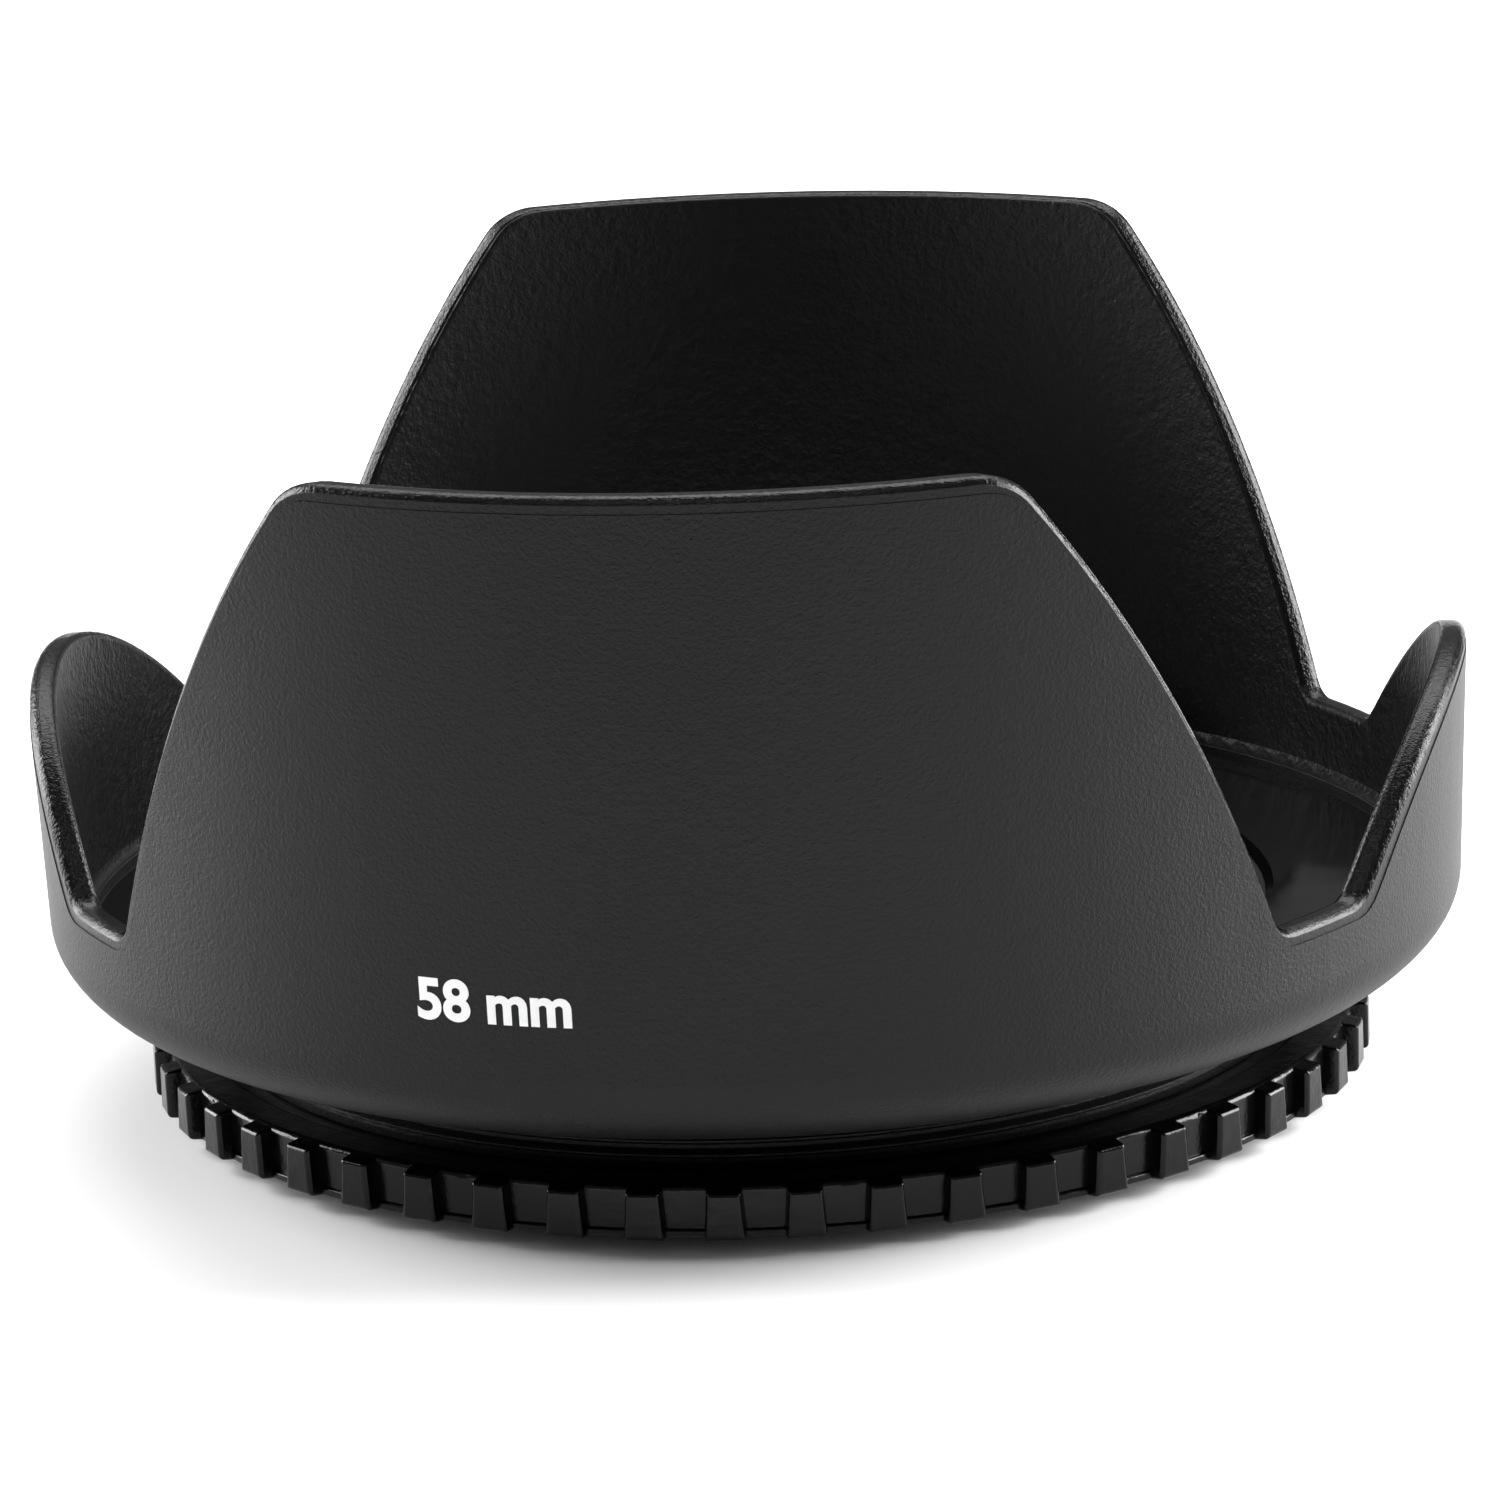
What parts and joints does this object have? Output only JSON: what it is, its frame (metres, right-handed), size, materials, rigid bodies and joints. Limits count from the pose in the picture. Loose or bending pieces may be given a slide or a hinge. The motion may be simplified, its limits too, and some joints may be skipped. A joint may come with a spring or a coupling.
{
  "type": "lens hood",
  "caption": "Petal-shaped lens hood moulded in one piece with a screw-in filter-thread neck, and a ribbed lock ring that screws along the thread",
  "frame": {"origin": "middle of the neck's tip, on the optical axis, so the hood stands on z = 0", "axes": "+Z along the optical axis away from the lens; the long petals are centred on -Y and +Y, the short ones on -X and +X"},
  "size_m": [0.077, 0.0784, 0.0407],
  "materials": {
    "hood_plastic": "matte, fine grain",
    "ring_plastic": "satin"
  },
  "bodies": {
    "hood": {"hood_body": "hood_plastic"},
    "ring_lift": {"lock_ring_sleeve": "ring_plastic"},
    "ring_turn": {"lock_ring": "ring_plastic"}
  },
  "joints": [
    {"name": "lock_ring_lift", "type": "slide", "parent": "hood", "child": "ring_lift", "axis": [0, 0, 1], "range_m": [-0.00075, 0.00225]},
    {"name": "lock_ring_turn", "type": "hinge", "parent": "ring_lift", "child": "ring_turn", "pos_m": [0, 0, 0], "axis": [0, 0, 1], "range_deg": [-360, 1080]}
  ],
  "couplings": [
    {"joint": "lock_ring_turn", "follows": "lock_ring_lift", "rad_per_m": 8377.6}
  ]
}
